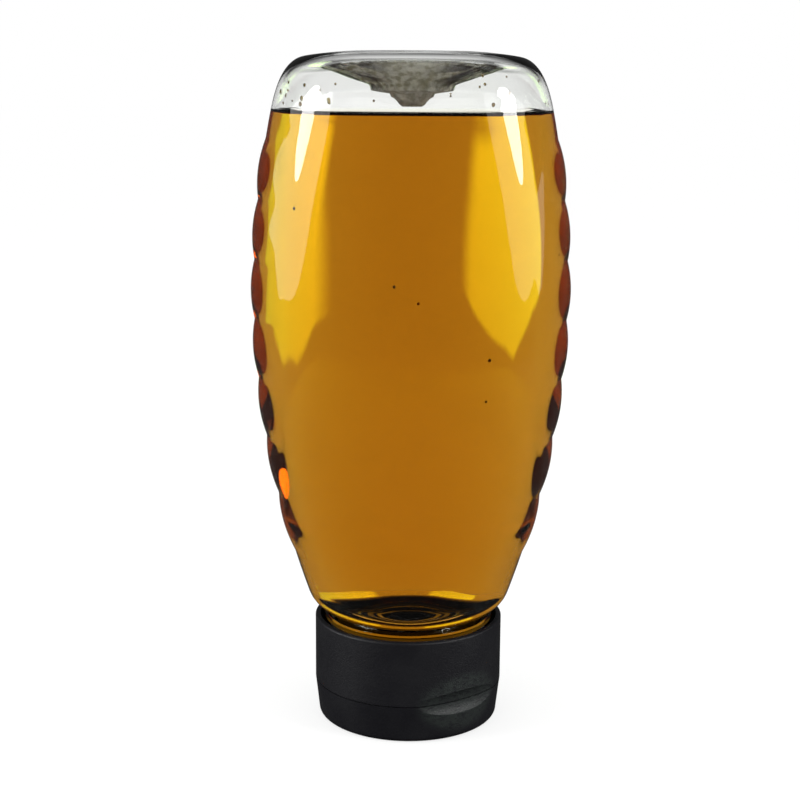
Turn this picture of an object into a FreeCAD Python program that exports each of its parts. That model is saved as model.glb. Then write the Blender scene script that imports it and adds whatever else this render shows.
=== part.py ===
import FreeCAD, Part
import math
import os

# Upside-down squeeze bottle of honey, standing on its black flip-top closure.
# Millimetres. +Z is up, z = 0 is the floor under the closed lid, the X axis runs along
# the wide side of the oval bottle and the front label panel faces -Y.

Vector = FreeCAD.Vector

# ---- neck of the bottle
neck_radius = 17.4
neck_wall = 1.6
bore_radius = neck_radius - neck_wall
bead_radius = neck_radius + 4.1
bead_thickness = 1.6
throat_radius = neck_radius + 1.2   # neck above the bead, under the shoulder

# ---- closure
sleeve_clearance = 1.5        # room for the thread, which is not modelled
sleeve_wall = 1.3             # inner sleeve that grips the bottle's neck
skirt_room = 2.5              # between the sleeve and the skirt
closure_wall = 1.3
closure_radius = neck_radius + sleeve_clearance + sleeve_wall + skirt_room + closure_wall
seam_height = 9.6             # where the lid meets the body of the closure
seam_gap = 0.25
skirt_height = 16.9
closure_top = seam_height + skirt_height
rim_round = 0.5
lid_taper = 1.1
lid_foot_radius = closure_radius - lid_taper
lid_edge_round = 1.4
lid_floor = 1.6
deck_rise = 1.6               # from the seam up to the plate that carries the nozzle
deck_height = seam_height + deck_rise
deck_thickness = 1.6
deck_top = deck_height + deck_thickness
orifice_radius = 2.0
nozzle_wall = 1.4
nozzle_draft = 0.8            # the nozzle is this much wider at the deck
nozzle_length = 6.2
nozzle_tip = deck_height - nozzle_length
plug_clearance = 0.4
plug_reach = 1.8              # how far the lid's plug stands in the nozzle
collar_room = 2.1             # between the skirt and the low ring that centres the shut lid
collar_radius = closure_radius - closure_wall - collar_room
collar_wall = 1.2
collar_depth = 1.2            # how far the ring reaches below the seam

# ---- thumb recess across the seam, and the hinge straight behind it
recess_azimuth = 35.0         # degrees from the front (-Y) towards +X
recess_depth = 1.3
recess_half_height = 3.2
recess_sweep_radius = 40.0    # flatter than the closure, so that the recess runs out sideways
hinge_reach = 0.7             # the fold line stands this far outside the skirt
hinge_width = 13.0
hinge_leaf = 2.4              # height of each leaf
hinge_gap = 0.1
leaf_bite = 0.6               # how far a leaf runs into the wall that carries it

# ---- where the bottle meets the closure
bead_lift = 0.8               # the bead stands this far proud of the skirt's rim
bead_top = closure_top + bead_lift
bead_bottom = bead_top - bead_thickness
sleeve_room = 1.5             # from the sleeve's top up to the bead
sleeve_top = bead_bottom - sleeve_room
throat_length = 0.9
shoulder_height = bead_top + throat_length
shoulder_round = 1.2
mouth_flare = 1.4             # rounding from the bore into the shoulder

# ---- body of the bottle
bottle_top = 168.5
waist_share = 0.5788          # the widest place, as a share of the way up from the shoulder
waist_height = shoulder_height + waist_share * (bottle_top - shoulder_height)
waist_half_width = 38.9
foot_inset = 0.2              # the body's foot is this much slimmer than the closure
body_half_depth = 25.8
panel_front_radius = 50 / 38.9 * waist_half_width   # the front and back faces in plan
body_wall = 0.8
base_wall = 1.3
# the sides are one long arc from the shoulder, through the waist, to the base
side_rise = waist_height - shoulder_height
side_bulge = waist_half_width - closure_radius + foot_inset
side_sweep_radius = (side_rise ** 2 + side_bulge ** 2) / (2 * side_bulge)

# ---- grip scallops down both sides
scallop_count = 7
top_valley = bottle_top - 20.86
low_valley = shoulder_height + 16.16
scallop_pitch = (top_valley - low_valley) / scallop_count
scallop_swell = 0.82
scallop_full_angle = 34.0     # full depth up to this bearing from the X axis
scallop_end_angle = 57.0      # gone at this one

# ---- label panels, front and back
panel_bottom = shoulder_height + 19.3
panel_top = bottle_top - 9.1
panel_half_width = waist_half_width - 6.9
panel_corner_drop = 6.0       # how far the panel's ends fall away at its full width
panel_sink = 0.3
panel_step = 2.2              # width of the soft step around the panel
shoulder_lean = 0.6           # share of the front's inward lean that starts at the panel's lower edge

# ---- base of the bottle, uppermost here
corner_start = bottle_top - 16.5
corner_power = 3.2            # superellipse exponent of the corner
ring_half_width = waist_half_width - 15.7
ring_half_depth = body_half_depth - 9.2
ring_front_radius = 1.724 * ring_half_width
ring_side_drop = 1.1          # the standing ring is this much lower at its ends
cone_start = 0.12             # share of the way in at which the ring's rounding ends
push_up_radius = 10.6         # foot of the cone
push_up_foot = bottle_top - 7.4
push_up_step = 1.6
push_up_taper = 0.6           # the step is this much narrower at its lower end
plateau_radius = 5.6
plateau_height = bottle_top - 10.2
gate_radius = 3.0
gate_root_radius = plateau_radius - 1.3
gate_root_height = plateau_height - 0.8
gate_tip = bottle_top - 13.0

# ---- honey
honey_level = bottle_top - 14.2

points_around = 96
big = 400.0
overcut = 1.0


def spread(first, last, count):
    return [first + (last - first) * i / (count - 1) for i in range(count)]


def smooth(value):
    value = min(1.0, max(0.0, value))
    return value * value * (3 - 2 * value)


# ---------------------------------------------------------------- oval sections

def oval_point(half_width, half_depth, front_radius, bearing):
    # Four tangent arcs: two of front_radius, and two at the ends that close the oval.
    end_radius = front_radius ** 2 - (front_radius - half_depth) ** 2 - half_width ** 2
    end_radius /= 2 * (front_radius - half_width)
    change = math.atan2(front_radius - half_depth, half_width - end_radius)
    along, across = math.cos(bearing), math.sin(bearing)
    if math.atan2(abs(across), abs(along)) < change:
        x = half_width - end_radius + end_radius * abs(along)
        y = end_radius * abs(across)
    else:
        x = front_radius * abs(along)
        y = half_depth - front_radius + front_radius * abs(across)
    return Vector(math.copysign(x, along), math.copysign(y, across), 0)


def ring(point_at):
    # A closed curve through points_around points. Every ring has the same parameters, so
    # that neighbouring rings make one clean surface.
    points = [point_at(2 * math.pi * i / points_around) for i in range(points_around)]
    curve = Part.BSplineCurve()
    curve.interpolate(
        Points=points, PeriodicFlag=True, Parameters=[i / points_around for i in range(points_around + 1)]
    )
    return curve


def round_ring(radius, height):
    return ring(lambda bearing: Vector(radius * math.cos(bearing), radius * math.sin(bearing), height))


def side_half_width(height):
    rise = height - waist_height
    return waist_half_width - side_sweep_radius + math.sqrt(side_sweep_radius ** 2 - rise ** 2)


def front_shape(height):
    # Half depth and plan radius of the front: straight up the panel, then in to the round foot.
    if height >= panel_bottom:
        return body_half_depth, panel_front_radius
    foot_radius = side_half_width(shoulder_height)
    share = (panel_bottom - height) / (panel_bottom - shoulder_height)
    lean = shoulder_lean * share + (1 - shoulder_lean) * share ** 2
    half_depth = body_half_depth + (foot_radius - body_half_depth) * lean
    radius = panel_front_radius + (foot_radius * 1.03 - panel_front_radius) * smooth(share)
    return half_depth, max(radius, side_half_width(height) * 1.02)


def panel_share(x, height):
    # 1 on the label panel, 0 off it. Its top and bottom edges fall away towards its ends.
    drop = panel_corner_drop * (abs(x) / panel_half_width) ** 4
    inside = min(
        panel_half_width - abs(x),
        panel_top - drop - height,
        height - panel_bottom - drop,
    )
    return smooth(inside / panel_step)


def scallop_swell_at(height):
    share = (top_valley - height) / scallop_pitch
    if share < 0 or share > scallop_count:
        return 0.0
    share -= math.floor(share)
    return 4 * scallop_swell * share * (1 - share)


def scallop_share(bearing):
    angle = math.degrees(math.atan2(abs(math.sin(bearing)), abs(math.cos(bearing))))
    return smooth((scallop_end_angle - angle) / (scallop_end_angle - scallop_full_angle))


def wall_ring(height, inset=0.0, swell=None):
    half_width = side_half_width(height) - inset
    half_depth, front_radius = front_shape(height)
    if swell is None:
        swell = scallop_swell_at(height)

    def point_at(bearing):
        point = oval_point(half_width, half_depth - inset, front_radius - inset, bearing)
        out = swell * scallop_share(bearing)
        out -= panel_sink * panel_share(point.x, height)
        normal = Vector(math.cos(bearing), math.sin(bearing), 0)
        return point + normal * out + Vector(0, 0, height)

    return ring(point_at)


# ---------------------------------------------------------------- bands of the bottle's skin

def shoulder_turn(inset, floor_height, turn_radius):
    # From the flat underside of the shoulder, round its edge, to the foot of the wall.
    rings = []
    for turn in spread(math.pi / 2, 0, 6):
        height = floor_height + turn_radius * (1 - math.sin(turn))
        rings.append(wall_ring(height, inset + turn_radius * (1 - math.cos(turn))))
    return rings


def wall_bands(inset, first_height):
    valleys = [top_valley - scallop_pitch * k for k in range(scallop_count, -1, -1)]
    bands = [[wall_ring(height, inset, 0.0) for height in spread(first_height, valleys[0], 9)]]
    for low, high in zip(valleys, valleys[1:]):
        heights = spread(low, high, 8)
        band = [wall_ring(height, inset) for height in heights[1:-1]]
        bands.append([wall_ring(low, inset, 0.0)] + band + [wall_ring(high, inset, 0.0)])
    bands.append([wall_ring(height, inset, 0.0) for height in spread(valleys[-1], corner_start, 4)])
    return bands


def corner_band(inset, top):
    # The corner between wall and standing ring, lower at the ends of the oval.
    def corner_ring(turn):
        rise = math.sin(turn) ** (2 / corner_power)
        pull = 1 - abs(math.cos(turn)) ** (2 / corner_power)

        def point_at(bearing):
            rim = top - ring_side_drop * math.cos(bearing) ** 2
            height = corner_start + (rim - corner_start) * rise
            half_width = side_half_width(height) - inset
            half_width -= (side_half_width(rim) - inset - ring_half_width) * pull
            half_depth = body_half_depth - inset
            half_depth -= (half_depth - ring_half_depth) * pull
            front_radius = panel_front_radius - inset
            front_radius += (ring_front_radius - front_radius) * pull
            point = oval_point(half_width, half_depth, front_radius, bearing)
            sink = panel_sink * panel_share(point.x, height)
            normal = Vector(math.cos(bearing), math.sin(bearing), 0)
            return point - normal * sink + Vector(0, 0, height)

        return ring(point_at)

    return [corner_ring(turn) for turn in spread(0, math.pi / 2, 12)]


def base_ring(share, height):
    # share 0 is the standing ring and 1 the round foot of the push-up cone.
    def point_at(bearing):
        half_width = ring_half_width + (push_up_radius - ring_half_width) * share
        half_depth = ring_half_depth + (push_up_radius - ring_half_depth) * share
        front_radius = ring_front_radius + (push_up_radius * 1.03 - ring_front_radius) * share
        point = oval_point(half_width, half_depth, front_radius, bearing)
        side_drop = ring_side_drop * math.cos(bearing) ** 2 * (1 - share)
        return point + Vector(0, 0, height - side_drop)

    return ring(point_at)


def base_bands(lift, ring_top):
    # Ring rounding, cone, step, plateau and gate stub. lift raises the push-up for the outer skin.
    foot = push_up_foot + lift
    slope_start = foot + (ring_top - foot) * (1 - cone_start)
    rounding = []
    for part in spread(0, 1, 5):
        height = ring_top + (slope_start - ring_top) * part ** 2
        rounding.append(base_ring(cone_start * part, height))
    cone = []
    for share in spread(cone_start, 1, 6):
        part = (share - cone_start) / (1 - cone_start)
        cone.append(base_ring(share, slope_start + (foot - slope_start) * part))
    bands = [rounding, cone]
    corners = [
        (push_up_radius, foot),
        (push_up_radius - push_up_taper, foot - push_up_step),
        (plateau_radius, plateau_height + lift),
        (gate_root_radius, gate_root_height + lift),
        (gate_radius, gate_tip + lift),
    ]
    for start, end in zip(corners, corners[1:]):
        bands.append([round_ring(*start), round_ring(*end)])
    return bands


def closed_solid(bands, first_cap, last_cap):
    faces = []
    for band in bands:
        surface = Part.BSplineSurface()
        surface.buildFromNSections(band)
        faces.append(surface.toShape())
    for cap in (first_cap, last_cap):
        faces.append(Part.Face(Part.Wire([cap.toShape()])))
    shell = Part.makeShell(faces)
    shell.sewShape()
    return Part.Solid(shell)


def neck_bands():
    # Mouth, neck, bead and throat, up to the underside of the shoulder.
    edge = bead_thickness * 0.25
    corners = [
        (neck_radius, deck_top),
        (neck_radius, bead_bottom),
        (bead_radius - edge, bead_bottom),
        (bead_radius, bead_bottom + edge),
        (bead_radius, bead_top - edge),
        (bead_radius - edge, bead_top),
        (throat_radius, bead_top),
        (throat_radius, shoulder_height),
    ]
    rings = [round_ring(*corner) for corner in corners]
    return [[low, high] for low, high in zip(rings, rings[1:])]


def outer_solid():
    neck = neck_bands()
    turn = shoulder_turn(0.0, shoulder_height, shoulder_round)
    underside = [neck[-1][-1], turn[0]]
    walls = wall_bands(0.0, shoulder_height + shoulder_round)
    base = base_bands(base_wall, bottle_top)
    bands = neck + [underside, turn] + walls + [corner_band(0.0, bottle_top)] + base
    return closed_solid(bands, neck[0][0], base[-1][-1])


def cavity_solid(mouth_height):
    # Everything inside the bottle, from mouth_height up to the push-up.
    floor_height = shoulder_height + body_wall
    turn_radius = shoulder_round + 0.4
    flare_start = floor_height - mouth_flare
    bore = [round_ring(bore_radius, mouth_height), round_ring(bore_radius, flare_start)]
    flare = []
    for turn in spread(0, math.pi / 2, 6):
        radius = bore_radius + mouth_flare * (1 - math.cos(turn))
        flare.append(round_ring(radius, flare_start + mouth_flare * math.sin(turn)))
    turn = shoulder_turn(body_wall, floor_height, turn_radius)
    walls = wall_bands(body_wall, floor_height + turn_radius)
    inner_top = bottle_top - base_wall
    base = base_bands(0.0, inner_top)
    bands = [bore, flare, [flare[-1], turn[0]], turn] + walls
    bands += [corner_band(body_wall, inner_top)] + base
    return closed_solid(bands, bore[0], base[-1][-1])


def bottle():
    return outer_solid().cut(cavity_solid(deck_top - overcut))


def honey():
    above = Part.makeBox(big, big, big, Vector(-big / 2, -big / 2, honey_level))
    filling = cavity_solid(deck_top).cut(above)
    string_foot = nozzle_tip + plug_reach + plug_clearance
    honey_string = Part.makeCylinder(orifice_radius, deck_top - string_foot + overcut)
    honey_string.translate(Vector(0, 0, string_foot))
    return filling.fuse(honey_string).removeSplitter()


# ---------------------------------------------------------------- closure

def turned(points):
    # Solid of revolution about Z from (radius, height) corners.
    corners = [Vector(radius, 0, height) for radius, height in points]
    return Part.Face(Part.makePolygon(corners + corners[:1])).revolve(Vector(), Vector(0, 0, 1), 360)


def tube(outer, inner, low, high):
    ring_solid = Part.makeCylinder(outer, high - low, Vector(0, 0, low))
    return ring_solid.cut(Part.makeCylinder(inner, high - low, Vector(0, 0, low)))


def recess_tool(grow):
    # Part of a large torus: it bites recess_depth into the closure at its middle and runs out
    # to both sides. Grown by the wall thickness, it keeps the wall even behind the recess.
    depth = recess_depth
    tube_radius = (recess_half_height ** 2 + depth ** 2) / (2 * depth)
    inner_sweep = recess_sweep_radius
    centre_back = closure_radius - depth - inner_sweep
    tool = Part.makeTorus(inner_sweep + tube_radius, tube_radius + grow)
    reach = 2 * closure_radius
    keep = Part.makeBox(reach, 2 * reach, reach, Vector(0, -reach, seam_height - reach / 2))
    tool.translate(Vector(centre_back, 0, seam_height))
    return tool.common(keep)


def hinge_leaf_solid(low, high, wall_radius):
    # One leaf of the strap. The fold line lies on its outer face, at the seam.
    inner = wall_radius - leaf_bite
    outer = closure_radius + hinge_reach - hinge_gap
    leaf = Part.makeBox(outer - inner, hinge_width, high - low, Vector(-outer, -hinge_width / 2, low))
    outside = [edge for edge in leaf.Edges if abs(edge.CenterOfMass.x + outer) < 0.01]
    far_height = low if low < seam_height - 1 else high
    far = [edge for edge in outside if abs(edge.CenterOfMass.z - far_height) < 0.01]
    sides = [edge for edge in leaf.Edges if abs(abs(edge.CenterOfMass.y) - hinge_width / 2) < 0.01
             and abs(edge.CenterOfMass.x + outer) < 0.01]
    return leaf.makeFillet(0.5, far + sides)


def face_recess(shape):
    # Shapes are made with the recess towards +X, then turned to its bearing.
    shape.rotate(Vector(), Vector(0, 0, 1), recess_azimuth - 90)
    return shape


def cap_body():
    low = seam_height + seam_gap
    skirt = Part.makeCylinder(closure_radius, closure_top - low, Vector(0, 0, low))
    top_edges = [edge for edge in skirt.Edges if abs(edge.CenterOfMass.z - closure_top) < 0.01]
    skirt = skirt.makeFillet(rim_round, [edge for edge in top_edges if edge.Closed])
    inner_radius = closure_radius - closure_wall
    room_above = Part.makeCylinder(inner_radius, big, Vector(0, 0, deck_top))
    room_below = Part.makeCylinder(inner_radius, deck_height, Vector(0, 0, 0))
    hollow = room_above.fuse(room_below).cut(recess_tool(closure_wall))
    shell = skirt.cut(recess_tool(0.0)).cut(hollow)
    sleeve_inner = neck_radius + sleeve_clearance
    sleeve = tube(sleeve_inner + sleeve_wall, sleeve_inner, deck_top, sleeve_top)
    collar = tube(collar_radius, collar_radius - collar_wall, seam_height - collar_depth, deck_height)
    nozzle_radius = orifice_radius + nozzle_wall
    nozzle_root = nozzle_radius + nozzle_draft
    nozzle = turned([(0, deck_height), (nozzle_root, deck_height), (nozzle_radius, nozzle_tip), (0, nozzle_tip)])
    orifice = Part.makeCylinder(orifice_radius, deck_top, Vector(0, 0, 0))
    leaf = hinge_leaf_solid(low, low + hinge_leaf, closure_radius)
    shape = shell.fuse([sleeve, collar, nozzle, leaf]).cut(orifice).removeSplitter()
    return face_recess(shape)


def cap_lid():
    # Tapered cup with a rounded foot, a centring plug for the nozzle and its hinge leaf.
    slope = (closure_radius - lid_foot_radius) / seam_height
    cup = turned([(0, 0), (lid_foot_radius, 0), (closure_radius, seam_height), (0, seam_height)])
    foot = [edge for edge in cup.Edges if abs(edge.CenterOfMass.z) < 0.01 and edge.Closed]
    cup = cup.makeFillet(lid_edge_round, foot)
    inner_foot = lid_foot_radius - closure_wall + slope * lid_floor
    inner_top = closure_radius - closure_wall + slope
    room_top = seam_height + overcut
    room = turned([(0, lid_floor), (inner_foot, lid_floor), (inner_top, room_top), (0, room_top)])
    room_foot = [edge for edge in room.Edges if abs(edge.CenterOfMass.z - lid_floor) < 0.01]
    room = room.makeFillet(lid_edge_round - 0.4, [edge for edge in room_foot if edge.Closed])
    shell = cup.cut(recess_tool(0.0)).cut(room.cut(recess_tool(closure_wall)))
    plug_radius = orifice_radius - plug_clearance
    plug_top = nozzle_tip + plug_reach
    plug_foot = lid_floor / 2
    plug = Part.makeCylinder(plug_radius, plug_top - plug_foot, Vector(0, 0, plug_foot))
    tip = [edge for edge in plug.Edges if abs(edge.CenterOfMass.z - plug_top) < 0.01 and edge.Closed]
    plug = plug.makeFillet(0.5, tip)
    leaf = hinge_leaf_solid(seam_height - hinge_leaf, seam_height, closure_radius - slope * hinge_leaf)
    return face_recess(shell.fuse([plug, leaf]).removeSplitter())


pieces = {"bottle": bottle, "honey": honey, "cap_body": cap_body, "cap_lid": cap_lid}

os.makedirs("parts", exist_ok=True)
for node, make in pieces.items():
    shape = make()
    print(node, "valid", shape.isValid(), "solids", len(shape.Solids), "box", shape.BoundBox)
    shape.exportStep("parts/" + node + ".step")
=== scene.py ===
import bpy
import bmesh
import math
import random
from mathutils import Euler, Matrix, Vector, noise


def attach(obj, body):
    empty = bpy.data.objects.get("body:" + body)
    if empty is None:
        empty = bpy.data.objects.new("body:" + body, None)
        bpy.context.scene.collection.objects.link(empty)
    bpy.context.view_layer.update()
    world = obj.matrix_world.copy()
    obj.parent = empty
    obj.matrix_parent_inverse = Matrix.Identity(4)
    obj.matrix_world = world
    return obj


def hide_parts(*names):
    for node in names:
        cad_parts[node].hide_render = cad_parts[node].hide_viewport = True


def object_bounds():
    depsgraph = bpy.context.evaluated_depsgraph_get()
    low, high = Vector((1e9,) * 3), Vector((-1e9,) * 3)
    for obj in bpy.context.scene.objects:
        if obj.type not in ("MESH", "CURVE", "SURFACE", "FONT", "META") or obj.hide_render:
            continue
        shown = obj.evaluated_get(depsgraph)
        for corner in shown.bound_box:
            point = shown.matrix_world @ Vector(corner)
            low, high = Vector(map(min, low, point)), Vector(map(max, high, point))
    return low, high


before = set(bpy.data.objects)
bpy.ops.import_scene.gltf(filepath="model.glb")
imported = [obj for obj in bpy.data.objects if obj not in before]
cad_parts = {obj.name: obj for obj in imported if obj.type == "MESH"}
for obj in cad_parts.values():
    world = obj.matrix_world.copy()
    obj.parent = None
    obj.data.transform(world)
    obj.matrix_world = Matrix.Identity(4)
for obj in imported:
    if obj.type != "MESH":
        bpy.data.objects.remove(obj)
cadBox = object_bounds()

mm = 0.001
fullTurn = 2 * math.pi
quarterTurn = math.pi / 2
sharpAngle = math.radians(40)    # edges sharper than this stay hard
poleGap = 1e-7                   # points closer than this, in metres, become one

print("frame loaded:", sorted(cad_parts))


def smooth(value):
    value = min(1.0, max(0.0, value))
    return value * value * (3 - 2 * value)


def spread(first, last, count):
    return [first + (last - first) * i / (count - 1) for i in range(count)]


def toObject(name, bm, material):
    mesh = bpy.data.meshes.new(name)
    bm.to_mesh(mesh)
    bm.free()
    piece = bpy.data.objects.new(name, mesh)
    bpy.context.scene.collection.objects.link(piece)
    mesh.materials.append(material)
    mesh.shade_smooth()
    mesh.set_sharp_from_angle(angle=sharpAngle)
    return piece


def turnedTube(rows, steps):
    # spin a straight line of points, then put every point on the row that it belongs to
    bm = bmesh.new()
    line = [bm.verts.new((1, 0, i)) for i in range(len(rows))]
    edges = [bm.edges.new(pair) for pair in zip(line, line[1:])]
    bmesh.ops.spin(bm, geom=line + edges, cent=(0, 0, 0), axis=(0, 0, 1), dvec=(0, 0, 0),
                   angle=fullTurn, steps=steps, use_merge=True)
    for vert in bm.verts:
        place = rows[round(vert.co.z)]
        vert.co = place(math.atan2(vert.co.y, vert.co.x)) * mm
    bmesh.ops.remove_doubles(bm, verts=bm.verts, dist=poleGap)    # closes the poles
    bmesh.ops.recalc_face_normals(bm, faces=bm.faces)
    return bm


# every size of the shapes is in millimetres, every height from the floor
bottle = {
    "top": cadBox[1][2] / mm,
    "widest": 109.4,            # height of the widest place
    "halfWidth": 38.9,
    "foot": 23.8,               # half width where the body meets the shoulder
    "halfDepth": 24.8,
    "frontRadius": 80.0,
    "wall": 0.8,
    "baseWall": 1.3,
    "shoulder": 28.2,
    "shoulderRound": 5.0,       # turn under the shoulder, outside and inside
    "innerRound": 5.2,
    "shoulderLean": 0.6,
    "nearRound": 1.03,          # front radius over half width where the oval is all but a circle
    "roundest": 1.02,           # the least that this may be
    "panelBottom": 47.5,
    "panelTop": 159.4,
    "panelHalfWidth": 32.0,
    "panelDrop": 6.0,           # how far the panel's ends fall at its sides
    "panelArch": 4,
    "panelSink": 0.3,
    "panelStep": 2.2,
    "steps": 176,
}
bottle["sideRise"] = bottle["widest"] - bottle["shoulder"]
bottle["sideBulge"] = bottle["halfWidth"] - bottle["foot"]
bottle["sideSweep"] = bottle["sideRise"] ** 2 + bottle["sideBulge"] ** 2
bottle["sideSweep"] /= 2 * bottle["sideBulge"]

scallop = {
    "count": 7, "pitch": 14.754, "topValley": 147.64, "swell": 0.82,
    "fullAngle": 18.0, "endAngle": 44.0,    # degrees from the side to where they fade out
}
ripple = {"depth": 0.10, "scale": 0.06, "across": 1.4, "up": 0.6}    # uneven inner skin
base = {
    "cornerStart": 152.0, "cornerPower": 3.2,
    "ringHalfWidth": 23.2, "ringHalfDepth": 15.6, "ringFrontRadius": 40.0,
    "sideDrop": 1.1, "coneStart": 0.12,
    "pushUpRadius": 10.6, "pushUpFoot": 161.1, "pushUpStep": 1.6, "pushUpDraft": 0.6,
    "plateauRadius": 5.6, "plateauHeight": 158.3, "plateauDraft": 0.9, "plateauStep": 0.8,
    "gateRadius": 2.4, "gateTip": 155.5,
    "crumple": 0.55, "crumpleRise": 0.25,   # depth of the ridges, and where they are in full
    "ridgeScale": 0.16, "ridgeSeed": 3.1, "fineScale": 0.45, "fineSeed": 7.7, "fineShare": 0.5,
}
neck = {
    "mouth": 12.8, "radius": 17.4, "bore": 15.8, "throat": 18.6, "lip": 1.4,
    "beadRadius": 21.5, "beadTop": 27.3, "beadThickness": 1.6, "beadEdge": 0.25,
}
honeySizes = {
    "level": 153.6,
    "bite": 0.12,               # how far the honey reaches into the wall
    "meniscus": 1.0, "meniscusReach": 1.6, "meniscusPower": 2.4,
    "levelGap": 0.2,
}
rowCounts = {
    "belowScallops": 18, "scallop": 17, "aboveScallops": 6, "turn": 8, "floor": 5,
    "bore": 12, "neck": 10, "corner": 24, "ring": 6, "cone": 12, "pushUp": 4,
    "edge": 3, "meniscus": 9, "level": 14,
}


def ovalPoint(halfWidth, halfDepth, frontRadius, bearing):
    # an oval of four arcs; the end arcs follow from the sizes and the wide front arcs
    endRadius = frontRadius ** 2 - (frontRadius - halfDepth) ** 2 - halfWidth ** 2
    endRadius /= 2 * (frontRadius - halfWidth)
    change = math.atan2(frontRadius - halfDepth, halfWidth - endRadius)
    along, across = math.cos(bearing), math.sin(bearing)
    if math.atan2(abs(across), abs(along)) < change:
        x = halfWidth - endRadius + endRadius * abs(along)
        y = endRadius * abs(across)
    else:
        x = frontRadius * abs(along)
        y = halfDepth - frontRadius + frontRadius * abs(across)
    return Vector((math.copysign(x, along), math.copysign(y, across), 0))


def sideHalfWidth(height):
    # the side is one long arc
    return bottle["halfWidth"] - bottle["sideSweep"] + math.sqrt(
        bottle["sideSweep"] ** 2 - (height - bottle["widest"]) ** 2)


def frontShape(height):
    # half depth and front radius, which turn the oval into a circle down to the shoulder
    if height >= bottle["panelBottom"]:
        return bottle["halfDepth"], bottle["frontRadius"]
    foot = sideHalfWidth(bottle["shoulder"])
    share = (bottle["panelBottom"] - height) / (bottle["panelBottom"] - bottle["shoulder"])
    lean = bottle["shoulderLean"] * share + (1 - bottle["shoulderLean"]) * share ** 2
    halfDepth = bottle["halfDepth"] + (foot - bottle["halfDepth"]) * lean
    radius = foot * bottle["nearRound"] - bottle["frontRadius"]
    radius = bottle["frontRadius"] + radius * smooth(share)
    return halfDepth, max(radius, sideHalfWidth(height) * bottle["roundest"])


def panelShare(x, height):
    # 1 on the label panel and 0 outside it
    drop = bottle["panelDrop"] * (abs(x) / bottle["panelHalfWidth"]) ** bottle["panelArch"]
    inside = min(bottle["panelHalfWidth"] - abs(x), bottle["panelTop"] - drop - height,
                 height - bottle["panelBottom"] - drop)
    return smooth(inside / bottle["panelStep"])


def swellAt(height):
    # each scallop is a low arch between two sharp valleys
    share = (scallop["topValley"] - height) / scallop["pitch"]
    if share < 0 or share > scallop["count"]:
        return 0.0
    share -= math.floor(share)
    return 4 * scallop["swell"] * share * (1 - share)


def scallopShare(bearing):
    angle = math.degrees(math.atan2(abs(math.sin(bearing)), abs(math.cos(bearing))))
    return smooth((scallop["endAngle"] - angle) / (scallop["endAngle"] - scallop["fullAngle"]))


def outwards(bearing):
    return Vector((math.cos(bearing), math.sin(bearing), 0))


def roundRow(radius, height):
    return lambda bearing: outwards(bearing) * radius + Vector((0, 0, height))


def wallRow(height, inset=0.0, uneven=0.0):
    halfWidth = sideHalfWidth(height) - inset
    halfDepth, frontRadius = frontShape(height)
    swell = swellAt(height)

    def place(bearing):
        point = ovalPoint(halfWidth, halfDepth - inset, frontRadius - inset, bearing)
        out = swell * scallopShare(bearing) - bottle["panelSink"] * panelShare(point.x, height)
        if uneven:
            spot = Vector((point.x, point.y * ripple["across"], height * ripple["up"]))
            out += uneven * noise.noise(spot * ripple["scale"])
        return point + outwards(bearing) * out + Vector((0, 0, height))

    return place


def cornerRow(turn, inset, top):
    # a row of the rounded corner between the wall, at turn 0, and the base, at a quarter turn
    rise = math.sin(turn) ** (2 / base["cornerPower"])
    pull = 1 - abs(math.cos(turn)) ** (2 / base["cornerPower"])

    def place(bearing):
        rim = top - base["sideDrop"] * math.cos(bearing) ** 2
        height = base["cornerStart"] + (rim - base["cornerStart"]) * rise
        halfWidth = sideHalfWidth(height) - inset
        halfWidth -= (sideHalfWidth(rim) - inset - base["ringHalfWidth"]) * pull
        halfDepth = bottle["halfDepth"] - inset
        halfDepth -= (halfDepth - base["ringHalfDepth"]) * pull
        frontRadius = bottle["frontRadius"] - inset
        frontRadius += (base["ringFrontRadius"] - frontRadius) * pull
        point = ovalPoint(halfWidth, halfDepth, frontRadius, bearing)
        sink = bottle["panelSink"] * panelShare(point.x, height)
        return point - outwards(bearing) * sink + Vector((0, 0, height))

    return place


def crumple(point, share):
    # uneven ridges left by the mould, in full from a quarter of the way up the cone
    def bumps(scale, seed):
        return noise.noise(Vector((point.x * scale, point.y * scale, seed)))

    strength = base["crumple"] * smooth(share / base["crumpleRise"])
    ridges = bumps(base["ridgeScale"], base["ridgeSeed"])
    return strength * (ridges + base["fineShare"] * bumps(base["fineScale"], base["fineSeed"]))


def baseRow(share, height):
    # from the ring that the bottle would stand on, at 0, in to the foot of the push-up, at 1
    radius = base["pushUpRadius"]
    frontEnd = radius * bottle["nearRound"]
    halfWidth = base["ringHalfWidth"] + (radius - base["ringHalfWidth"]) * share
    halfDepth = base["ringHalfDepth"] + (radius - base["ringHalfDepth"]) * share
    frontRadius = base["ringFrontRadius"] + (frontEnd - base["ringFrontRadius"]) * share

    def place(bearing):
        point = ovalPoint(halfWidth, halfDepth, frontRadius, bearing)
        drop = base["sideDrop"] * math.cos(bearing) ** 2 * (1 - share)
        return point + Vector((0, 0, height - drop + crumple(point, share)))

    return place


def wallHeights(first):
    lowest = scallop["topValley"] - scallop["count"] * scallop["pitch"]
    heights = spread(first, lowest, rowCounts["belowScallops"])
    for k in range(scallop["count"], 0, -1):
        low = scallop["topValley"] - k * scallop["pitch"]
        heights += spread(low, low + scallop["pitch"], rowCounts["scallop"])[1:]
    return heights + spread(scallop["topValley"], base["cornerStart"], rowCounts["aboveScallops"])[1:]


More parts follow.
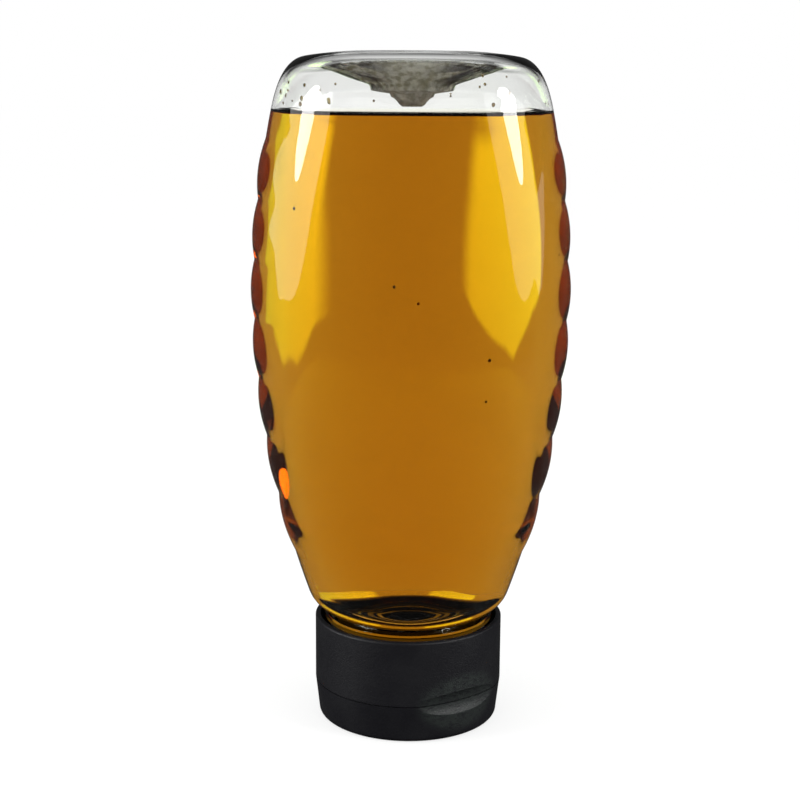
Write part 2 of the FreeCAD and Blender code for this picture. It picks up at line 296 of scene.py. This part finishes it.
def shoulderRows(inset, floorHeight, turnRadius):
    rows = []
    for turn in spread(quarterTurn, 0, rowCounts["turn"]):
        height = floorHeight + turnRadius * (1 - math.sin(turn))
        rows.append(wallRow(height, inset + turnRadius * (1 - math.cos(turn))))
    return rows


def cornerRows(inset, top):
    return [cornerRow(turn, inset, top) for turn in spread(0, quarterTurn, rowCounts["corner"])[1:]]


def baseRows(lift, ringTop):
    # the ring, the crumpled cone, the push-up, its plateau and the stub of the gate
    foot = base["pushUpFoot"] + lift
    start = base["coneStart"]
    slopeStart = foot + (ringTop - foot) * (1 - start)
    rows = [baseRow(start * part, ringTop + (slopeStart - ringTop) * part ** 2)
            for part in spread(0, 1, rowCounts["ring"])[1:]]
    rows += [baseRow(share, slopeStart + (foot - slopeStart) * (share - start) / (1 - start))
             for share in spread(start, 1, rowCounts["cone"])[1:]]
    plateau = base["plateauHeight"] + lift
    tip = base["gateTip"] + lift
    corners = [(base["pushUpRadius"], foot),
               (base["pushUpRadius"] - base["pushUpDraft"], foot - base["pushUpStep"]),
               (base["plateauRadius"], plateau),
               (base["plateauRadius"] - base["plateauDraft"], plateau - base["plateauStep"]),
               (base["gateRadius"], tip), (0.0, tip)]
    for (radius, height), (nextRadius, nextHeight) in zip(corners, corners[1:]):
        rows += [roundRow(*corner) for corner in
                 zip(spread(radius, nextRadius, rowCounts["pushUp"])[1:],
                     spread(height, nextHeight, rowCounts["pushUp"])[1:])]
    return rows


def rowsBetween(low, high, count):
    # rows strictly between two rows, on straight lines from one to the other
    return [lambda bearing, share=share: low(bearing).lerp(high(bearing), share)
            for share in spread(0, 1, count + 2)[1:-1]]


def cavityRows(grow=0.0):
    # from the mouth of the bore up to the top of the wall; grow pushes the skin outwards
    inset = bottle["wall"] - grow
    floorHeight = bottle["shoulder"] + bottle["wall"] - grow
    lip = neck["lip"]
    bore = neck["bore"] + grow
    flare = floorHeight - lip
    rows = [roundRow(bore, height) for height in spread(neck["mouth"], flare, rowCounts["bore"])]
    for turn in spread(0, quarterTurn, rowCounts["turn"])[1:]:
        rows.append(roundRow(bore + lip * (1 - math.cos(turn)), flare + lip * math.sin(turn)))
    turned = shoulderRows(inset, floorHeight, bottle["innerRound"])
    rows += rowsBetween(rows[-1], turned[0], rowCounts["floor"]) + turned
    uneven = 0.0 if grow else ripple["depth"]
    rows += [wallRow(height, inset, uneven)
             for height in wallHeights(floorHeight + bottle["innerRound"])[1:]]
    return rows


def bottleRows():
    # one closed skin: inner base, cavity, mouth, neck, shoulder, wall, corner and outer base
    innerTop = bottle["top"] - bottle["baseWall"]
    inner = cavityRows() + cornerRows(bottle["wall"], innerTop) + baseRows(0.0, innerTop)
    beadRadius, beadTop = neck["beadRadius"], neck["beadTop"]
    beadBottom = beadTop - neck["beadThickness"]
    edge = neck["beadThickness"] * neck["beadEdge"]
    outer = [roundRow(neck["radius"], height)
             for height in spread(neck["mouth"], beadBottom, rowCounts["neck"])]
    outer += [roundRow(*corner) for corner in (
        (beadRadius - edge, beadBottom), (beadRadius, beadBottom + edge),
        (beadRadius, beadTop - edge), (beadRadius - edge, beadTop),
        (neck["throat"], beadTop), (neck["throat"], bottle["shoulder"]))]
    turned = shoulderRows(0.0, bottle["shoulder"], bottle["shoulderRound"])
    outer += rowsBetween(outer[-1], turned[0], rowCounts["floor"]) + turned
    outer += [wallRow(height)
              for height in wallHeights(bottle["shoulder"] + bottle["shoulderRound"])[1:]]
    outer += cornerRows(0.0, bottle["top"]) + baseRows(bottle["baseWall"], bottle["top"])
    return inner[::-1] + outer


def honeyRows():
    # the cavity's own rows up to the level, then the meniscus and the flat top
    grow, level = honeySizes["bite"], honeySizes["level"]
    reach, climb = honeySizes["meniscusReach"], honeySizes["meniscus"]
    inset = bottle["wall"] - grow
    foot = neck["mouth"] - grow
    rows = [roundRow(0.0, foot), roundRow(neck["bore"], foot)] + cavityRows(grow)
    rows = [row for row in rows if row(0.0).z < level - honeySizes["levelGap"]]
    rows += [wallRow(height, inset) for height in spread(level, level + climb, rowCounts["edge"])]
    for part in spread(0, 1, rowCounts["meniscus"])[1:]:
        height = level + climb * (1 - part) ** honeySizes["meniscusPower"]
        rows.append(wallRow(height, inset + reach * part))
    edgeRow = wallRow(level, inset + reach)
    for share in spread(1, 0, rowCounts["level"])[1:]:
        rows.append(lambda bearing, share=share:
                    Vector((edgeRow(bearing).x * share, edgeRow(bearing).y * share, level)))
    return rows


noiseBand = (0.3, 0.7)    # where most of a noise lies, so that a mask goes from 0 to 1 over it
glossOff = (0, 0, 0, 1)


def newMaterial(name):
    material = bpy.data.materials.new(name)
    material.use_nodes = True
    return material, material.node_tree, material.node_tree.nodes["Principled BSDF"]


def feed(tree, value, socket):
    # another socket is linked, and a number, a place or a colour is set on the socket itself
    if isinstance(value, bpy.types.NodeSocket):
        tree.links.new(value, socket)
    elif socket.type == "RGBA":
        socket.default_value = (*value, 1)
    else:
        socket.default_value = value


def setInputs(shader, values):
    for label, value in values.items():
        shader.inputs[label].default_value = value


def mathStep(tree, operation, first, second=0.0):
    step = tree.nodes.new("ShaderNodeMath")
    step.operation = operation
    feed(tree, first, step.inputs[0])
    feed(tree, second, step.inputs[1])
    return step.outputs[0]


def vectorStep(tree, operation, first, second=(0, 0, 0)):
    step = tree.nodes.new("ShaderNodeVectorMath")
    step.operation = operation
    feed(tree, first, step.inputs[0])
    feed(tree, second, step.inputs[1])
    return step.outputs["Value" if operation == "LENGTH" else "Vector"]


def mapRange(tree, value, band, ends=(0.0, 1.0), shape="SMOOTHSTEP"):
    node = tree.nodes.new("ShaderNodeMapRange")
    node.interpolation_type = shape
    labels = ("Value", "From Min", "From Max", "To Min", "To Max")
    for label, given in zip(labels, (value, *band, *ends)):
        feed(tree, given, node.inputs[label])
    return node.outputs["Result"]


def blendColour(tree, share, low, high, mode="MIX"):
    mix = tree.nodes.new("ShaderNodeMix")
    mix.data_type = "RGBA"
    mix.blend_type = mode
    factor, first, second = mix.inputs[0], mix.inputs[6], mix.inputs[7]
    for given, socket in ((share, factor), (low, first), (high, second)):
        feed(tree, given, socket)
    return mix.outputs[2]


def addBump(tree, shader, height, depth):
    # depth in millimetres
    bump = tree.nodes.new("ShaderNodeBump")
    bump.inputs["Strength"].default_value = 1.0
    bump.inputs["Distance"].default_value = depth * mm
    feed(tree, height, bump.inputs["Height"])
    feed(tree, bump.outputs["Normal"], shader.inputs["Normal"])


def newMaskGroup(name, numbers, vectors):
    # a node group with named inputs that puts out one mask
    group = bpy.data.node_groups.new(name, "ShaderNodeTree")
    for labels, kind in ((numbers, "NodeSocketFloat"), (vectors, "NodeSocketVector")):
        for label in labels:
            group.interface.new_socket(label, in_out="INPUT", socket_type=kind)
    group.interface.new_socket("Mask", in_out="OUTPUT", socket_type="NodeSocketFloat")
    given = group.nodes.new("NodeGroupInput").outputs
    result = group.nodes.new("NodeGroupOutput").inputs["Mask"]
    coords = group.nodes.new("ShaderNodeTexCoord").outputs["Object"]
    return group, given, result, coords


def makeNoiseGroup():
    # 0 to 1 from a noise over the object's own coordinates
    group, given, result, coords = newMaskGroup(
        "noiseMask", ("Scale", "Detail", "Low", "High"), ("Stretch",))
    shift = group.nodes.new("ShaderNodeMapping")
    feed(group, coords, shift.inputs["Vector"])
    feed(group, given["Stretch"], shift.inputs["Scale"])
    grain = group.nodes.new("ShaderNodeTexNoise")
    feed(group, shift.outputs["Vector"], grain.inputs["Vector"])
    feed(group, given["Scale"], grain.inputs["Scale"])
    feed(group, given["Detail"], grain.inputs["Detail"])
    feed(group, mapRange(group, grain.outputs["Fac"], (given["Low"], given["High"])), result)
    return group


def makeNearGroup():
    # 1 within reach of a place of the object, fading to 0 at the end; all in metres
    group, given, result, coords = newMaskGroup("nearMask", ("Reach", "End"), ("Centre", "Squash"))
    away = vectorStep(group, "SUBTRACT", coords, given["Centre"])
    length = vectorStep(group, "LENGTH", vectorStep(group, "MULTIPLY", away, given["Squash"]))
    feed(group, mapRange(group, length, (given["Reach"], given["End"]), (1.0, 0.0)), result)
    return group


noiseGroup = makeNoiseGroup()
nearGroup = makeNearGroup()


def placeGroup(tree, group, values):
    node = tree.nodes.new("ShaderNodeGroup")
    node.node_tree = group
    for label, value in values.items():
        feed(tree, value, node.inputs[label])
    return node.outputs["Mask"]


def noiseMask(tree, scale, band=noiseBand, stretch=(1, 1, 1), detail=4.0):
    return placeGroup(tree, noiseGroup, {"Scale": scale, "Detail": detail, "Stretch": stretch,
                                         "Low": band[0], "High": band[1]})


def nearMask(tree, centre, reach, fade, squash=(1, 1, 1)):
    # the sizes here are in millimetres
    return placeGroup(tree, nearGroup, {"Centre": tuple(part * mm for part in centre),
                                        "Squash": squash, "Reach": reach * mm,
                                        "End": (reach + fade) * mm})


plastic = {
    "tints": ((0.965, 0.975, 0.955), (0.98, 0.985, 0.975)), "cloudScale": 60.0, "ior": 1.57,
    "waveScale": 45.0, "waveBand": (0.2, 0.8), "waveDepth": 0.04,    # the blown wall is uneven
}


def clearPlastic(name, wet=False):
    material, tree, shader = newMaterial(name)
    clouds = noiseMask(tree, plastic["cloudScale"])
    feed(tree, blendColour(tree, clouds, *plastic["tints"]), shader.inputs["Base Color"])
    setInputs(shader, {"Transmission Weight": 1.0, "IOR": plastic["ior"], "Roughness": 0.0})
    waves = noiseMask(tree, plastic["waveScale"], plastic["waveBand"], detail=1.0)
    addBump(tree, shader, waves, plastic["waveDepth"])
    if wet:
        setInputs(shader, {"Specular Tint": glossOff})    # honey on the skin takes its shine
    return material


frost = {
    "plain": (0.46, 0.43, 0.28), "pale": (0.95, 0.93, 0.80), "patchScale": 520.0,
    "patchBand": (0.38, 0.60), "through": 0.45, "gloss": 0.25,
    # the dark brown streak colour and its mask sizes below are a painted reflection of the dark
    # ceiling on both flanks
    "paintedReflection": (0.022, 0.010, 0.006), "reflectionScale": 330.0, "reflectionBand": (0.40, 0.54),
    "reflectionStretch": (0.30, 1.0, 1.0), "reflectionOut": 14.5, "reflectionHeight": 165.0,
    "reflectionReach": 5.0, "reflectionFade": 5.5, "reflectionSquash": (0.75, 0.45, 1),
    "gate": (0.30, 0.23, 0.06), "gateShare": 0.7, "gateHeight": 155.0,
    "gateReach": 3.0, "gateFade": 2.0,
    "roughness": (0.35, 0.60), "roughScale": 1400.0,
    "bumpScale": 620.0, "bumpBand": (0.25, 0.75), "bumpDepth": 0.8,
    "detail": 6.0,
}


def frostedPlastic():
    # the push-up is rough from the mould, with dark brown streaks on both of its flanks that are a
    # painted reflection of the dark ceiling seen through it
    material, tree, shader = newMaterial("frostedPlastic")
    patches = noiseMask(tree, frost["patchScale"], frost["patchBand"], detail=frost["detail"])
    ground = blendColour(tree, patches, frost["plain"], frost["pale"])
    streaks = noiseMask(tree, frost["reflectionScale"], frost["reflectionBand"], frost["reflectionStretch"],
                        frost["detail"])
    # painted reflection: the dark ceiling seen through both flanks, painted as dark brown streaks
    for side in (-1, 1):
        flank = nearMask(tree, (side * frost["reflectionOut"], 0, frost["reflectionHeight"]),
                         frost["reflectionReach"], frost["reflectionFade"], frost["reflectionSquash"])
        paintedReflection = mathStep(tree, "MULTIPLY", streaks, flank)
        ground = blendColour(tree, paintedReflection, ground, frost["paintedReflection"])
    stub = nearMask(tree, (0, 0, frost["gateHeight"]), frost["gateReach"], frost["gateFade"])
    stub = mathStep(tree, "MULTIPLY", stub, frost["gateShare"])
    feed(tree, blendColour(tree, stub, ground, frost["gate"]), shader.inputs["Base Color"])
    fine = noiseMask(tree, frost["roughScale"])
    feed(tree, mapRange(tree, fine, (0.0, 1.0), frost["roughness"], "LINEAR"),
         shader.inputs["Roughness"])
    setInputs(shader, {"Transmission Weight": frost["through"], "IOR": plastic["ior"],
                       "Specular IOR Level": frost["gloss"]})
    addBump(tree, shader, noiseMask(tree, frost["bumpScale"], frost["bumpBand"]),
            frost["bumpDepth"])
    return material


honeyLook = {
    "tints": ((0.97, 0.97, 0.96), (1.0, 1.0, 1.0)), "cloudScale": 70.0, "ior": 1.49,
    "absorbs": (0.850, 0.661, 0.0, 1), "density": 118.0,
}


def honeyLiquid():
    material, tree, shader = newMaterial("honeyLiquid")
    clouds = noiseMask(tree, honeyLook["cloudScale"])
    feed(tree, blendColour(tree, clouds, *honeyLook["tints"]), shader.inputs["Base Color"])
    setInputs(shader, {"Transmission Weight": 1.0, "IOR": honeyLook["ior"], "Roughness": 0.0,
                       "Specular Tint": glossOff})
    absorb = tree.nodes.new("ShaderNodeVolumeAbsorption")
    setInputs(absorb, {"Color": honeyLook["absorbs"], "Density": honeyLook["density"]})
    feed(tree, absorb.outputs["Volume"], tree.nodes["Material Output"].inputs["Volume"])
    return material


cap = {
    "colour": (0.0072, 0.0070, 0.0096), "worn": (0.0115, 0.0115, 0.0138),
    "cloudScale": 90.0, "cloudBand": (0.35, 0.70), "gloss": 0.4,
    "grainScale": 2600.0, "grainDepth": 0.04, "roughness": (0.38, 0.52),
    # a lighter colour laid in noisy patches around the thumb recess, and the sizes of those patches
    "thumb": (0.024, 0.029, 0.027), "paleScale": 900.0, "paleBand": (0.30, 0.60),
    "paleStretch": (1, 1, 3), "paleReach": 7.5, "paleFade": 3.5, "paleSquash": (0.8, 0.8, 1.3),
    "recessRadius": 24.0, "recessAngle": 35, "recessHeight": 9.6,    # where the thumb recess is
}
cap["recessAt"] = (cap["recessRadius"] * math.sin(math.radians(cap["recessAngle"])),
                   -cap["recessRadius"] * math.cos(math.radians(cap["recessAngle"])),
                   cap["recessHeight"])


def blackPlastic():
    # polypropylene with a fine moulded grain, lighter in noisy patches around the thumb recess
    material, tree, shader = newMaterial("blackPlastic")
    clouds = noiseMask(tree, cap["cloudScale"], cap["cloudBand"])
    colour = blendColour(tree, clouds, cap["colour"], cap["worn"])
    # the base colour is made lighter in noisy patches around the thumb recess
    palePatches = noiseMask(tree, cap["paleScale"], cap["paleBand"], cap["paleStretch"])
    thumb = nearMask(tree, cap["recessAt"], cap["paleReach"], cap["paleFade"],
                     cap["paleSquash"])
    palePatches = mathStep(tree, "MULTIPLY", palePatches, thumb)
    feed(tree, blendColour(tree, palePatches, colour, cap["thumb"]), shader.inputs["Base Color"])
    grain = noiseMask(tree, cap["grainScale"])
    feed(tree, mapRange(tree, grain, (0.0, 1.0), cap["roughness"], "LINEAR"),
         shader.inputs["Roughness"])
    setInputs(shader, {"Specular IOR Level": cap["gloss"]})
    addBump(tree, shader, grain, cap["grainDepth"])
    return material


clear = clearPlastic("clearPlastic")
wetClear = clearPlastic("clearPlasticWet", wet=True)
frosted = frostedPlastic()
amber = honeyLiquid()
black = blackPlastic()
print("materials made")

bottlePiece = toObject("bottle_clear", turnedTube(bottleRows(), bottle["steps"]), clear)
bottlePiece.data.materials.append(wetClear)
bottlePiece.data.materials.append(frosted)

paint = {
    "wetSlot": 1, "frostedSlot": 2,
    "coneReach": 0.93, "coneFrom": 155.0,           # the push-up, as a share of the ring
    "floorFacing": 0.2, "floorBelow": 40.0,         # the shoulder's inner side
}


def paintBottle(mesh):
    # the inner skin below the honey's level is wet, and the push-up is frosted on both sides
    for face in mesh.polygons:
        centre, normal = face.center / mm, face.normal
        outward = Vector((centre.x, centre.y, 0)).dot(normal)
        reach = (centre.x / base["ringHalfWidth"]) ** 2 + (centre.y / base["ringHalfDepth"]) ** 2
        onFloor = normal.z > paint["floorFacing"] and centre.z < paint["floorBelow"]
        if reach < paint["coneReach"] and centre.z > paint["coneFrom"]:
            face.material_index = paint["frostedSlot"]
        elif centre.z < honeySizes["level"] and (outward < 0 or onFloor):
            face.material_index = paint["wetSlot"]


paintBottle(bottlePiece.data)
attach(bottlePiece, "jar")
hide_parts("bottle")
print("bottle made", len(bottlePiece.data.polygons))

honeyPiece = toObject("honey_fill", turnedTube(honeyRows(), bottle["steps"]), amber)
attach(honeyPiece, "jar")
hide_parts("honey")
print("honey made", len(honeyPiece.data.polygons))

# depth is from the inner skin to the bead's middle, squash its thickness over its size
drops = {
    "seed": 11, "count": 26, "low": 156.0, "high": 164.0, "size": (0.22, 0.55),
    "depth": 0.05, "squash": 0.4,
    "tints": ((0.30, 0.17, 0.04), (0.60, 0.45, 0.16)), "patchScale": 2500.0,
    "through": 0.8, "roughness": 0.12,
}
grains = {
    "seed": 5, "count": 9, "low": 80.0, "high": 135.0, "size": (0.22, 0.36),
    "depth": 0.9, "squash": 0.8,
    "tints": ((0.05, 0.022, 0.01), (0.12, 0.06, 0.02)), "patchScale": 3000.0, "roughness": 0.6,
}
bead = {"subdivisions": 2, "tall": 1.25, "uneven": 0.22, "unevenScale": 1.3, "apart": 50}


def driedHoney():
    # honey dried on the wall: dull, and darker than the liquid
    material, tree, shader = newMaterial("driedHoney")
    patches = noiseMask(tree, drops["patchScale"])
    feed(tree, blendColour(tree, patches, *drops["tints"]), shader.inputs["Base Color"])
    setInputs(shader, {"Transmission Weight": drops["through"], "Roughness": drops["roughness"],
                       "IOR": honeyLook["ior"]})
    return material


def darkGrain():
    material, tree, shader = newMaterial("darkGrain")
    patches = noiseMask(tree, grains["patchScale"])
    feed(tree, blendColour(tree, patches, *grains["tints"]), shader.inputs["Base Color"])
    setInputs(shader, {"Roughness": grains["roughness"]})
    return material


def innerPlace(height, bearing, inset):
    # a point of the inner wall, or of the rounded corner above it
    if height <= base["cornerStart"]:
        return wallRow(height, inset)(bearing)
    rise = (height - base["cornerStart"]) / (bottle["top"] - base["cornerStart"])
    turn = math.asin(rise ** (base["cornerPower"] / 2))
    return cornerRow(turn, inset, bottle["top"] - bottle["baseWall"])(bearing)


def scatterBeads(name, sizes, material):
    # small uneven beads along the inner wall, each turned to face the wall
    draw = random.Random(sizes["seed"])
    stretch = Vector((sizes["squash"], 1, bead["tall"]))
    bm = bmesh.new()
    for _ in range(sizes["count"]):
        height = draw.uniform(sizes["low"], sizes["high"])
        bearing = draw.uniform(0, fullTurn)
        place = innerPlace(height, bearing, bottle["wall"] + sizes["depth"])
        size = draw.uniform(*sizes["size"])
        ball = bmesh.ops.create_icosphere(bm, subdivisions=bead["subdivisions"], radius=1.0)["verts"]
        away = Vector((draw.uniform(0, bead["apart"]), 0, 0))
        turnTo = outwards(bearing).to_track_quat("X", "Z").to_matrix()
        for vert in ball:
            vert.co *= 1 + bead["uneven"] * noise.noise(vert.co * bead["unevenScale"] + away)
            vert.co = (turnTo @ (vert.co * stretch) * size + place) * mm
    piece = toObject(name, bm, material)
    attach(piece, "jar")
    print(name, "made")
    return piece


scatterBeads("honey_drops", drops, driedHoney())
scatterBeads("pollen_grains", grains, darkGrain())

for node in ("cap_body", "cap_lid"):
    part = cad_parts[node]
    part.data.materials.clear()
    part.data.materials.append(black)
print("closure finished")

white = (1, 1, 1)
floorLook = {"colour": (1.0, 1.0, 1.0), "unseen": (0.04, 0.04, 0.04), "litShare": 0.3,
             "roughness": 0.9, "radius": 6.0, "segments": 64}


def floorSurface():
    # white to the camera and through glass, with a share of real light so that shadows stay
    material, tree, shader = newMaterial("floorWhite")
    setInputs(shader, {"Roughness": floorLook["roughness"], "Specular IOR Level": 0.0})
    path = tree.nodes.new("ShaderNodeLightPath").outputs
    seen = mathStep(tree, "MAXIMUM", path["Is Camera Ray"], path["Is Transmission Ray"])
    feed(tree, blendColour(tree, seen, floorLook["unseen"], floorLook["colour"]),
         shader.inputs["Base Color"])
    glow = tree.nodes.new("ShaderNodeEmission")
    feed(tree, white, glow.inputs["Color"])
    mix = tree.nodes.new("ShaderNodeMixShader")
    feed(tree, mathStep(tree, "MULTIPLY", seen, 1 - floorLook["litShare"]), mix.inputs[0])
    feed(tree, shader.outputs[0], mix.inputs[1])
    feed(tree, glow.outputs[0], mix.inputs[2])
    feed(tree, mix.outputs[0], tree.nodes["Material Output"].inputs["Surface"])
    return material


def addFloor():
    bm = bmesh.new()
    bmesh.ops.create_circle(bm, cap_ends=True, segments=floorLook["segments"],
                            radius=floorLook["radius"])
    toObject("floor", bm, floorSurface())


# lamps: bearing in degrees from the back (+Y) towards +X, and everything else in metres
backLamps = {
    "backRight": {"bearing": 27.0, "width": 0.335, "tip": 0.30, "rise": (0.15, 0.20),
                  "tints": ((1.3, 2.0, 0.3), (0.52, 1.4, 0.4))},
    "backLeft": {"bearing": -15.0, "width": 0.186, "tip": 0.40, "rise": (0.30, 0.26),
                 "tints": ((1.05, 1.85, 0.25), (1.2, 2.3, 0.4))},
}
diffuser = {
    "distance": 0.5, "bottom": 0.003, "top": 0.138,
    "tipPowers": (2.5, 0.8),                # how the lower edge rises before and after its tip
    "softBottom": 0.05, "softSide": 0.08, "softTop": 0.12,
    "lowest": 0.70, "risesBy": 0.45,        # brightness at the bottom, and what the top adds
}
wideBoxes = {
    "wideLeft": {"bearing": -108, "distance": 0.5, "height": 0.15, "size": (0.55, 0.22),
                 "radiance": 2.0},
    "wideRight": {"bearing": 121, "distance": 0.5, "height": 0.15, "size": (0.46, 0.22),
                  "radiance": 1.4},
}
keyLamps = {
    "keyLeft": {"bearing": -108, "distance": 0.45, "height": 0.232, "size": (0.16, 0.18),
                "radiance": 12},
    "keyRight": {"bearing": 117, "distance": 0.45, "height": 0.226, "size": (0.16, 0.18),
                 "radiance": 12},
}
aimHeight = 0.09


def addLamp(name, bearing, distance, height, size, radiance, target=aimHeight, shape="ELLIPSE"):
    data = bpy.data.lights.new(name, "AREA")
    data.shape = shape
    data.size, data.size_y = size
    share = math.pi / 4 if shape == "ELLIPSE" else 1.0
    data.energy = radiance * math.pi * share * size[0] * size[1]
    lamp = bpy.data.objects.new(name, data)
    angle = math.radians(bearing)
    lamp.location = (distance * math.sin(angle), distance * math.cos(angle), height)
    aim = Vector((0, 0, target)) - lamp.location
    lamp.rotation_euler = aim.to_track_quat("-Z", "Y").to_euler()
    bpy.context.scene.collection.objects.link(lamp)
    return lamp


def addBackLamp(name, bearing, width, tip, rise, tints):
    # a tall diffuser behind the bottle, seen through the honey. Its lower edge is lowest at tip,
    # a share of the width from the side towards the middle, and rises on both sides of it
    bottom, top = diffuser["bottom"], diffuser["top"]
    middle = (bottom + top) / 2
    lamp = addLamp(name, bearing, diffuser["distance"], middle, (width, top - bottom), 1.0,
                   target=middle, shape="RECTANGLE")
    lamp.data.use_nodes = True
    tree = lamp.data.node_tree

    def step(operation, first, second):
        return mathStep(tree, operation, first, second)

    def riseFrom(distance, span, power, height):
        share = step("MAXIMUM", step("DIVIDE", distance, span), 0.0)
        return step("MULTIPLY", step("POWER", share, power), height)

    def fade(distance, softness):
        return mapRange(tree, distance, (0.0, softness))

    place = tree.nodes.new("ShaderNodeNewGeometry")
    axes = tree.nodes.new("ShaderNodeSeparateXYZ")
    feed(tree, place.outputs["Parametric"], axes.inputs[0])
    across, up = axes.outputs["X"], axes.outputs["Y"]
    if bearing > 0:
        across = step("SUBTRACT", 1.0, across)
    before = riseFrom(step("SUBTRACT", tip, across), tip, diffuser["tipPowers"][0], rise[0])
    after = riseFrom(step("SUBTRACT", across, tip), 1 - tip, diffuser["tipPowers"][1], rise[1])
    level = fade(step("SUBTRACT", up, step("ADD", before, after)), diffuser["softBottom"])
    for mask in (fade(across, diffuser["softSide"]),
                 fade(step("SUBTRACT", 1.0, across), diffuser["softSide"]),
                 fade(step("SUBTRACT", 1.0, up), diffuser["softTop"])):
        level = step("MULTIPLY", level, mask)
    brighter = step("ADD", diffuser["lowest"], step("MULTIPLY", up, diffuser["risesBy"]))
    glow = tree.nodes["Emission"]
    feed(tree, blendColour(tree, across, *tints), glow.inputs["Color"])
    feed(tree, step("MULTIPLY", level, brighter), glow.inputs["Strength"])
    return lamp


room = {
    # level of the wall by bearing from the back, in degrees, and of the upper half by height
    "around": [(0, 1.0), (58, 1.0), (66, 0.12), (78, 0.12), (84, 1.0), (102, 1.0),
               (107, 0.12), (128, 0.12), (134, 1.0), (180, 1.0)],
    "above": [(0.0, 1.0), (0.20, 1.0), (0.32, 0.06), (1.0, 0.06)],
    "mirrored": (0.05, 0.05, 0.05),    # what reflections see
}


def ramp(tree, value, stops):
    node = tree.nodes.new("ShaderNodeValToRGB")
    feed(tree, value, node.inputs["Fac"])
    elements = node.color_ramp.elements
    for i, (place, level) in enumerate(stops):
        stop = elements.new(place) if i else elements[0]
        stop.position = place
        stop.color = (level, level, level, 1)
    elements.remove(elements[-1])      # the ramp's own last stop
    return node.outputs["Color"]


def addWorld():
    # a white room with a dim ceiling and dim flags at the sides, as glass is lit in a studio
    world = bpy.data.worlds.new("studio")
    bpy.context.scene.world = world
    world.use_nodes = True
    tree = world.node_tree
    axes = tree.nodes.new("ShaderNodeSeparateXYZ")
    feed(tree, tree.nodes.new("ShaderNodeTexCoord").outputs["Generated"], axes.inputs[0])
    side = mathStep(tree, "ABSOLUTE", axes.outputs["X"])
    turn = mathStep(tree, "ARCTAN2", side, axes.outputs["Y"])
    bearing = mathStep(tree, "DIVIDE", turn, math.pi)    # 0 to 1 for 0 to 180 degrees
    around = ramp(tree, bearing, [(angle / 180, level) for angle, level in room["around"]])
    above = ramp(tree, axes.outputs["Z"], room["above"])
    path = tree.nodes.new("ShaderNodeLightPath").outputs
    level = blendColour(tree, path["Is Glossy Ray"], white, room["mirrored"])
    seenThrough = blendColour(tree, 1.0, around, above, "MULTIPLY")
    level = blendColour(tree, path["Is Transmission Ray"], level, seenThrough)
    level = blendColour(tree, path["Is Camera Ray"], level, white)
    feed(tree, level, tree.nodes["Background"].inputs["Color"])


view = {"place": (-0.0025, -0.393, 0.1645), "lens": 71.55, "sensor": 36.0,
        "down": 11.8, "roll": 0.38}


def addCamera():
    data = bpy.data.cameras.new("camera")
    data.sensor_width = view["sensor"]
    data.lens = view["lens"]
    camera = bpy.data.objects.new("camera", data)
    camera.location = view["place"]
    tilt = Euler((math.radians(90 - view["down"]), 0, 0)).to_matrix()
    tilt = tilt @ Matrix.Rotation(math.radians(view["roll"]), 3, "Z")
    camera.rotation_euler = tilt.to_euler()
    bpy.context.scene.collection.objects.link(camera)
    bpy.context.scene.camera = camera


bpy.context.scene.view_settings.view_transform = "Standard"
addFloor()
addWorld()
for name, sizes in backLamps.items():
    addBackLamp(name, **sizes).visible_glossy = False
for name, sizes in wideBoxes.items():
    addLamp(name, **sizes).visible_transmission = False
for name, sizes in keyLamps.items():
    addLamp(name, **sizes)
addCamera()
print("studio set")
